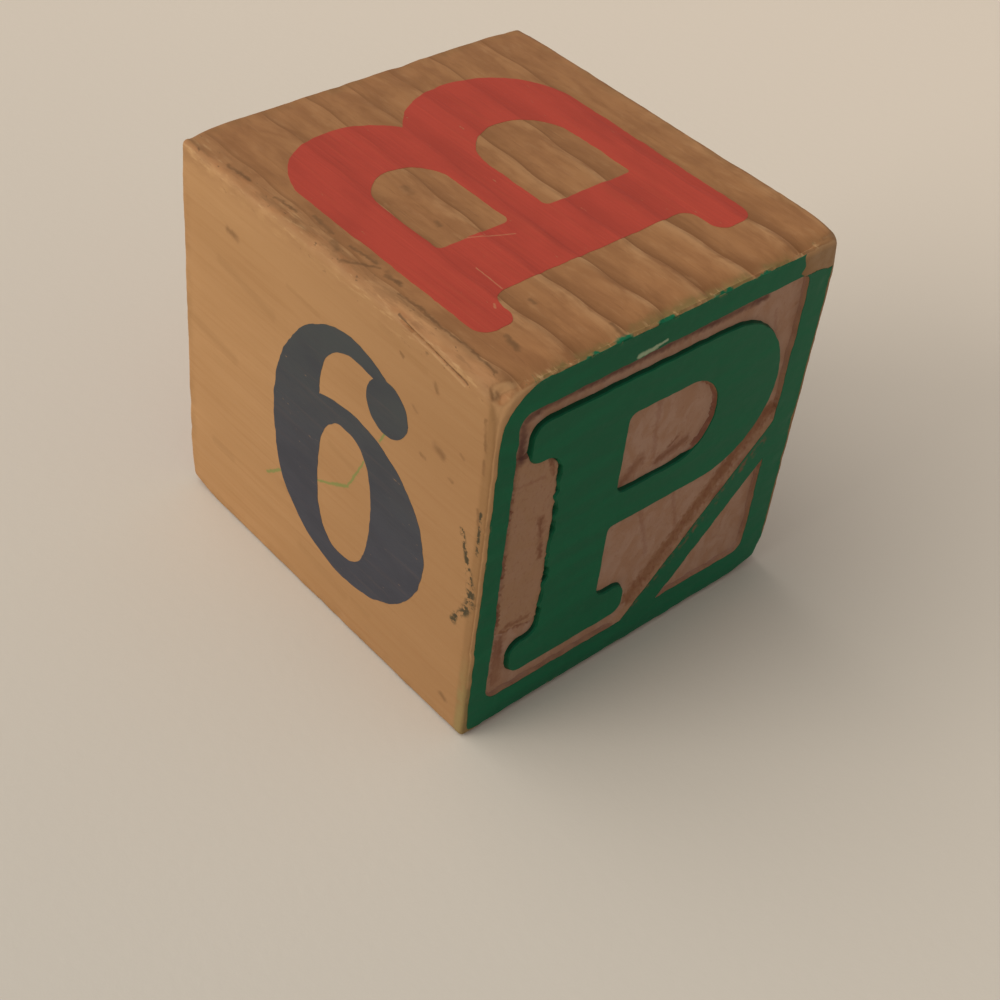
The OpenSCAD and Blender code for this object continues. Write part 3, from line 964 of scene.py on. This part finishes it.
def edge_colour(g, colour):
    """Grime along the edges, the torn edge over the 6, paint traces beside the green border, and painted
    light and shade on the edges beside it.
    """
    grime = g.noise((0.35, 0.45, 0.45))
    rough = g.noise((0.45, 0.9, 0.9), 4.0)
    fibres = g.noise((0.35, 1.7, 1.7))
    streaks = g.noise((0.22, 1.3, 1.3), 4.0, 0.65)
    specks = g.noise((0.9, 1.6, 1.6))
    smudge = g.noise((0.7, 0.5, 0.5))
    torn = g.beside(TORN_ARRIS, 0.8, 3.4)
    beside_top = g.beside(TOP_GREEN_ARRIS, 0.6, 1.4)
    beside_front = g.beside(FRONT_GREEN_ARRIS, 1.0, 1.6)
    painted_light_area = g.either(beside_top, beside_front, g.beside(NEAR_CORNER_PLACE, 4.0, 6.0))
    facing_right = g.rise(g.normal_x, 0.4, 0.8)
    facing_up = g.rise(g.normal_x, 0.5, 0.85, 1.0, 0.0)
    top = FACES["top"]
    return g.layered(
        colour,
        (EDGE_GRIME, g.rise(g.edge_gap(), 0.2, 2.0, 1.0, 0.0), g.rise(grime, 0.40, 0.62), 0.5),
        (TORN_WOOD, torn, g.rise(rough, 0.36, 0.58, 0.0, 0.55)),
        (PALE_FIBRE, torn, g.rise(fibres, 0.56, 0.70, 0.0, 0.4)),
        (TORN_STREAK, torn, g.rise(g.normal_z, 0.3, 0.8, 0.3, 1.0), g.rise(streaks, 0.52, 0.62, 0.0, 0.5)),
        (SPECK, torn, g.rise(specks, 0.65, 0.71, 0.0, 0.7)),
        (WORN_CORNER_WOOD, g.beside(WORN_CORNER_PLACE, 3.5, 6.5), facing_right,
         g.rise(rough, 0.3, 0.6, 0.5, 1.0)),
        # Worn tan wood beside the green border and at the near corner, where it faces the shaded +X end:
        # its own tan, lightened as painted light so that it looks lit
        (ARRIS_TAN_AND_PAINTED_LIGHT, painted_light_area, facing_right, g.rise(smudge, 0.32, 0.55, 0.75, 1.0)),
        # Darker band on the 6's side along the edge by the green border: painted shade of the rounding
        # turning away from the light
        (ARRIS_PAINTED_SHADE, beside_front, g.rise(g.normal_y, 0.6, 0.9, 0.0, 0.65)),
        (OLIVE, beside_front, g.rise(g.z, -17.0, -9.0, 1.0, 0.0), g.rise(smudge, 0.35, 0.55, 0.3, 0.9)),
        (TORN_WOOD, beside_top, facing_up, g.rise(smudge, 0.45, 0.60, 0.0, 0.5)),
        (MUSTARD, g.marks(top, TOP_MUSTARD_MARKS, 1.0, 1.6), g.rise(smudge, 0.32, 0.52, 0.6, 1.0),
         g.rise(facing_up, 0.0, 1.0, 0.45, 1.0)),
        (PALE_FIBRE, beside_top, g.rise(fibres, 0.58, 0.68, 0.0, 0.6)),
        (GREEN_PAINT, beside_top, g.rise(g.normal_z, 0.3, 0.7), g.rise(specks, 0.66, 0.71, 0.0, 0.5)),
        (GREEN_PAINT, g.marks(top, TOP_GREEN_MARKS, 0.8)))


def cut_colour(g, colour):
    """The relief ends below their painted tops: pinkish floors, red-brown torn walls and stains, with
    painted shadow under the border's edges.
    """
    mottle = g.noise((1.0, 0.45, 0.32), 4.0, 0.6, 0.8)
    fine = g.noise((1.0, 2.4, 1.6))
    right = FACES["right"]
    torn = g.marks(right, TORN_STRIP, 1.8)
    plateau = g.layered(
        PLATEAU_WOOD,
        (CUT_FLOOR_DEEP, g.rise(mottle, 0.35, 0.65, 0.0, 0.4)),
        (CUT_WALL, g.rise(fine, 0.5, 0.75, 0.0, 0.35)))
    floor = g.layered(
        CUT_FLOOR_DEEP,
        (CUT_FLOOR, g.rise(mottle, 0.35, 0.65)),
        (CUT_WALL, g.rise(fine, 0.55, 0.78, 0.0, 0.25)),
        (plateau, g.rise(g.x, HALF[0] - 0.38, HALF[0] - 0.26), 0.8),
        (CUT_WALL, g.rise(g.normal_x, 0.55, 0.92, 1.0, 0.0), g.rise(g.y, 15.0, 17.0, 1.0, 0.3),
         g.rise(g.z, -17.6, -15.0, 0.4, 1.0), g.rise(mottle, 0.30, 0.6, 0.25, 0.85)),
        (TORN_FIBRE, torn, g.rise(mottle, 0.30, 0.55, 0.7, 1.0)),
        (CUT_WALL, torn, g.rise(fine, 0.45, 0.65, 0.0, 0.5)),
        (CUT_STAIN, g.marks(right, TORN_STRIP_DARK, 1.5, 1.6), 0.45),
        (CUT_STAIN, g.marks(right, CUT_STAINS, 1.2, 1.6), g.rise(mottle, 0.3, 0.6, 0.4, 0.8)),
        # Painted shadow with a stain under the border's edges
        (CUT_SHADOW_AND_STAIN, g.marks(right, CUT_SHADOW_AND_STAIN_MARKS, 0.7, 1.5), g.rise(mottle, 0.3, 0.6, 0.75, 1.0)),
        (CUT_WALL, g.marks(right, CUT_STREAKS, 1.0, 1.6), 0.3))
    return g.layered(colour, (floor, g.in_end_cut()))


def mark_colour(g, colour):
    """Single marks on the top and on the side of the 6."""
    front, top = FACES["front"], FACES["top"]
    soft = g.noise((0.5, 0.5, 0.5), 2.0, 0.5)
    grains = g.noise((1.3, 1.3, 1.3), 3.0, 0.7)
    brown = g.either(g.marks(front, FRONT_MARKS, 0.5, 1.6), g.marks(top, TOP_MARKS, 0.5, 1.6))
    return g.layered(
        colour,
        (EDGE_GRIME, g.marks(front, FRONT_FAINT_MARKS), 0.3),
        (PEN_GREEN, g.marks(front, PEN_MARKS), 0.6),
        (MARK_BROWN, brown, g.rise(soft, 0.3, 0.6, 0.35, 0.7)),
        (MARK_BROWN, g.marks(top, TOP_CRACKS, 0.6, 1.5), g.rise(soft, 0.3, 0.6, 0.5, 0.85)),
        (PALE_FIBRE, g.marks(front, SPLINTER_MARKS, 0.1), 0.25),
        (SPECK, g.marks(front, SPLIT_MARKS, 0.1), 0.85),
        (DIRT, g.marks(front, FRONT_SPECKLES), g.rise(grains, 0.45, 0.54), 0.9))


def ink_material(name, ink, scratches=None, upper_ink=None):
    """Printed ink: thin over the fibres, darker where a ring starts (partly as painted shade), rubbed off
    in a few flecks.
    """
    g = Graph(name, roughness=0.6, specular=0.12)
    fibre = g.noise((0.07, 2.0, 2.0))
    mottle = g.noise((0.12, 0.35, 0.35), 3.0, 0.55)
    rubbed = g.rise(g.noise((0.8, 3.0, 3.0)), 0.70, 0.78, 0.0, 0.5)
    deep = tuple(0.76 * channel for channel in ink)
    thin = tuple(0.86 * channel + 0.14 * wood for channel, wood in zip(ink, WOOD))
    colour = g.layered(
        ink,
        (upper_ink or ink, g.rise(g.z, -10.0, 14.0)),
        (deep, g.rise(mottle, 0.40, 0.72, 0.0, 0.5)),
        (thin, g.rise(fibre, 0.50, 0.80, 0.0, 0.35)),
        # Darker after each ring start on the flat faces: partly ink following the grain, partly painted
        # shade of the ring's step
        (deep, g.rise(g.ring(), 0.0, 0.5, 1.0, 0.0), g.normal_z, 0.45),
        (WOOD, rubbed))
    if scratches:
        colour = g.layered(colour, (PALE_FIBRE, g.marks(FACES["top"], scratches, 0.15), 0.35))
    height = g.math("MULTIPLY_ADD", rubbed, -0.6, fibre)
    return g.finish(colour, height, 0.05, g.rise(fibre, 0.3, 0.8, 0.56, 0.66))


def paint_material(name, paint, marked=False):
    """Rolled paint on the raised parts: full, with faint roller streaks, scuffs, walls darker from darker
    paint and painted shade, and a painted sheen toward +Y.
    """
    g = Graph(name, roughness=0.5, specular=0.12)
    streak = g.noise((1.0, 0.10, 0.6), 3.0, 0.55)
    orange_peel = g.noise((1.1, 1.1, 1.1), 2.0, 0.5)
    scuff = g.noise((1.3, 0.9, 0.9), 4.0, 0.65)
    dark, wall = (tuple(share * channel for channel in paint) for share in (0.84, 0.5))
    light = tuple(1.15 * channel + 0.006 for channel in paint)
    colour = g.layered(
        dark,
        (paint, g.rise(streak, 0.35, 0.7)),
        (light, g.rise(orange_peel, 0.55, 0.8, 0.0, 0.25)),
        # Lighter toward +Y: a painted sheen
        (light, g.rise(g.y, -6.0, HALF[1], 0.0, 0.35)),
        # Darker on the walls, most on those facing up: partly darker paint, partly painted shade in the
        # recess
        (wall, g.on_walls(), g.rise(g.normal_z, 0.2, 0.6, 0.35, 1.0)),
        (OLIVE, g.rise(g.edge_gap(), 0.3, 1.0, 1.0, 0.0), g.rise(scuff, 0.57, 0.65)))
    if marked:
        right = FACES["right"]
        colour = g.layered(
            colour,
            (CUT_WALL, g.marks(right, BAR_SCUFFS, 1.0), g.rise(orange_peel, 0.42, 0.66, 0.0, 0.7)),
            (PAINT_FLAKE, g.marks(right, FLAKES), 0.85))
    height = g.math("MULTIPLY_ADD", orange_peel, 0.8, streak)
    return g.finish(colour, height, 0.02, g.rise(streak, 0.3, 0.7, 0.46, 0.56))


# Building the block

Coat = namedtuple("Coat", "name node slot material thickness covers worn")


def relief_end(name, border_node, letter_node, slot, material, fits, bar_way, seed,
               corners=(), rise_by=0, plateau=(), worn=()):
    face = FACES[name]
    border = border_loops(border_node, face, *fits, corners, seed)
    letter = letter_loops(letter_node, face, (0, rise_by), RAISED_LETTER_RAG, seed + 10)
    if plateau:
        letter[0] = torn_left_edge(letter[0])
    relief = Relief(border, letter, bar_edge(border, bar_way), list(plateau), seed)
    coats = [
        Coat(border_node + "_paint", border_node, slot, material, PAINT_THICKNESS, border, worn),
        Coat(letter_node + "_paint", letter_node, slot, material, PAINT_THICKNESS, relief.letter_foot, ()),
    ]
    return coats, relief.loops() + list(worn), relief_levels, relief.height


def printed_side(name, node, slot, material, levels, seed, height=None, foot=0):
    loops = letter_loops(node, FACES[name], (0, 0), PRINT_RAG, seed, foot)
    coats = [Coat(node + "_print", node, slot, material, INK_THICKNESS, loops, ())]
    return coats, loops, levels, height


def face_plans():
    """For each face, its coats, the outlines on it, its mesh spacing and its own height."""
    worn = [ragged(resample(WORN_CORNER, OUTLINE_SPACING), WORN_CORNER_RAG, 90)]
    plateau = [ragged(resample(PLATEAU, OUTLINE_SPACING), PLATEAU_RAG, 95)]
    green = paint_material("green_paint", GREEN_PAINT, marked=True)
    red = paint_material("red_paint", RED_PAINT)
    top_red = ink_material("red_ink", RED_INK, INK_SCRATCHES)
    front_blue = ink_material("blue_ink", BLUE_INK, upper_ink=UPPER_BLUE_INK)
    back_blue = ink_material("back_blue_ink", BLUE_INK)
    star_green = ink_material("green_ink", STAR_INK)
    return {
        "right": relief_end(
            "right", "green_frame", "green_letter_p", "green_paint", green,
            (BORDER_OUTER_FIT, BORDER_INNER_FIT), (1, -1), 100,
            BORDER_CORNERS, LETTER_P_RISE, plateau, worn),
        "left": relief_end(
            "left", "red_frame", "red_letter_l", "red_paint", red,
            (square_fit(CAD_BORDER_OUTER + 0.3), square_fit(CAD_BORDER_INNER)), (1, 1), 200),
        "top": printed_side(
            "top", "red_letter_b", "red_ink", top_red, ring_levels, 300, foot=LETTER_B_FOOT),
        "front": printed_side(
            "front", "blue_numeral_6", "blue_ink", front_blue, split_levels, 400, split_height),
        "back": printed_side("back", "blue_letter_d", "blue_ink", back_blue, coarse_levels, 500),
        "bottom": printed_side("bottom", "green_star", "green_ink", star_green, coarse_levels, 600),
    }


def shape_surface(box_points, local_height):
    """Worn surface of the block: its points and the way out at each."""
    radius = edge_radius(box_points)[:, None]
    core = np.clip(box_points, radius - HALF, HALF - radius)
    outward = box_points - core
    outward /= np.linalg.norm(outward, axis=1)[:, None]
    height = wear_height(box_points, outward) - SKIN_INSET + local_height
    return core + outward * (radius + height[:, None]), outward


def build_block():
    plans = face_plans()
    box_points, heights, triangles, coats = [], [], [], []
    count = 0
    for seed, (name, (face_coats, loops, levels, height)) in enumerate(plans.items()):
        face = FACES[name]
        flat, face_triangles = triangulate(face, loops, levels, seed)
        centres = flat[face_triangles].mean(axis=1)
        local = height(flat) * rise(room_in(face, flat), 0, 0.35) if height else np.zeros(len(flat))
        box_points.append(on_box(face, flat))
        heights.append(local)
        triangles.append(face_triangles + count)
        for coat in face_coats:
            covered = inside(centres, coat.covers)
            for loop in coat.worn:
                covered &= ~inside(centres, [loop])
            coats.append((coat, face_triangles[covered] + count))
        count += len(flat)
    box_points, heights = np.vstack(box_points), np.concatenate(heights)
    _, first, merged = np.unique(box_points.round(5) + 0.0, axis=0, return_index=True, return_inverse=True)
    merged = merged.ravel()
    points, outward = shape_surface(box_points[first], heights[first])
    wood = new_mesh("block_wood", points, merged[np.vstack(triangles)])
    finish_piece(wood, "wood_block", wood_material())
    for coat, coat_triangles in coats:
        layer = shell(points, outward, merged[coat_triangles], coat.thickness)
        finish_piece(new_mesh(coat.name, *layer), coat.node, coat.material)


# Stage, light and camera, in metres

FLOOR_HALF = 2.5
# Floor colours at the two ends of a gradient across the floor: painted falloff of the light, warmer at the
# lit end and greyer at the shaded end
FLOOR_PAINTED_LIT_END = (0.665, 0.555, 0.430)
FLOOR_PAINTED_SHADE_END = (0.530, 0.475, 0.390)
FLOOR_TURN = (-0.35, 0.93, 0)
FLOOR_SPREAD = 0.35
BACKDROP = (0.62, 0.55, 0.45)

# Each light: the way to it round from +X and up from the floor, how wide it looks, and its strength
WINDOWS = {
    "low_window": (250, 15, 46, 2.4),
    "high_window": (215, 55, 64, 1.32),
}
SKY_STRENGTH = 0.44
SKY_COLOUR = (0.98, 1.0, 1.05)

CAMERA_PLACE = (0.10339, -0.10187, 0.13446)
CAMERA_AIM = (0.00860, -0.00485, 0.01172)
CAMERA_ROLL = 7.13
CAMERA_LENS = 62.26
CAMERA_SENSOR = 36


def make_floor():
    mesh = bpy.data.meshes.new("floor")
    corners = [(-1, -1), (1, -1), (1, 1), (-1, 1)]
    mesh.from_pydata([(x * FLOOR_HALF, y * FLOOR_HALF, 0) for x, y in corners], [], [(0, 1, 2, 3)])
    g = Graph("floor", roughness=0.8, specular=0.2)
    across = g.vector("DOT_PRODUCT", g.place, tuple(c * MM for c in FLOOR_TURN))
    # Painted falloff of the light across the floor
    colour = g.mix(g.rise(across, -FLOOR_SPREAD / 2, FLOOR_SPREAD / 2), FLOOR_PAINTED_SHADE_END, FLOOR_PAINTED_LIT_END)
    mesh.materials.append(g.finish(colour, g.noise((0.8, 0.8, 0.8)), 0.02))
    add_object("floor", mesh)


def make_windows():
    for name, (round_by, up_by, width, strength) in WINDOWS.items():
        sun = bpy.data.lights.new(name, "SUN")
        sun.angle = math.radians(width)
        sun.energy = strength
        toward = Vector((math.cos(math.radians(up_by)), 0, math.sin(math.radians(up_by))))
        toward.rotate(Matrix.Rotation(math.radians(round_by), 3, "Z"))
        add_object(name, sun).rotation_euler = toward.to_track_quat("Z", "Y").to_euler()


def make_world():
    """A sky that lights the block, and a plain backdrop that only the camera sees."""
    world = bpy.data.worlds.new("room")
    bpy.context.scene.world = world
    world.use_nodes = True
    tree = world.node_tree
    sky = tree.nodes["Background"]
    sky.inputs["Color"].default_value = (*SKY_COLOUR, 1)
    sky.inputs["Strength"].default_value = SKY_STRENGTH
    seen = tree.nodes.new("ShaderNodeBackground")
    seen.inputs["Color"].default_value = (*BACKDROP, 1)
    rays = tree.nodes.new("ShaderNodeLightPath")
    choice = tree.nodes.new("ShaderNodeMixShader")
    for k, output in enumerate((rays.outputs["Is Camera Ray"], sky.outputs[0], seen.outputs[0])):
        tree.links.new(output, choice.inputs[k])
    tree.links.new(choice.outputs[0], tree.nodes["World Output"].inputs[0])


def make_camera():
    place, aim = Vector(CAMERA_PLACE), Vector(CAMERA_AIM)
    forward = (aim - place).normalized()
    level = forward.cross(Vector((0, 0, 1))).normalized()
    upright = level.cross(forward)
    turn = math.radians(CAMERA_ROLL)
    right = level * math.cos(turn) + upright * math.sin(turn)
    up = right.cross(forward)
    camera = add_object("camera", bpy.data.cameras.new("camera"))
    camera.matrix_world = Matrix.Translation(place) @ Matrix((right, up, -forward)).transposed().to_4x4()
    camera.data.lens = CAMERA_LENS
    camera.data.sensor_width = CAMERA_SENSOR
    camera.data.clip_start = 0.01
    bpy.context.scene.camera = camera


make_camera()
make_world()
make_windows()
make_floor()
build_block()
bpy.context.scene.view_settings.view_transform = "Standard"
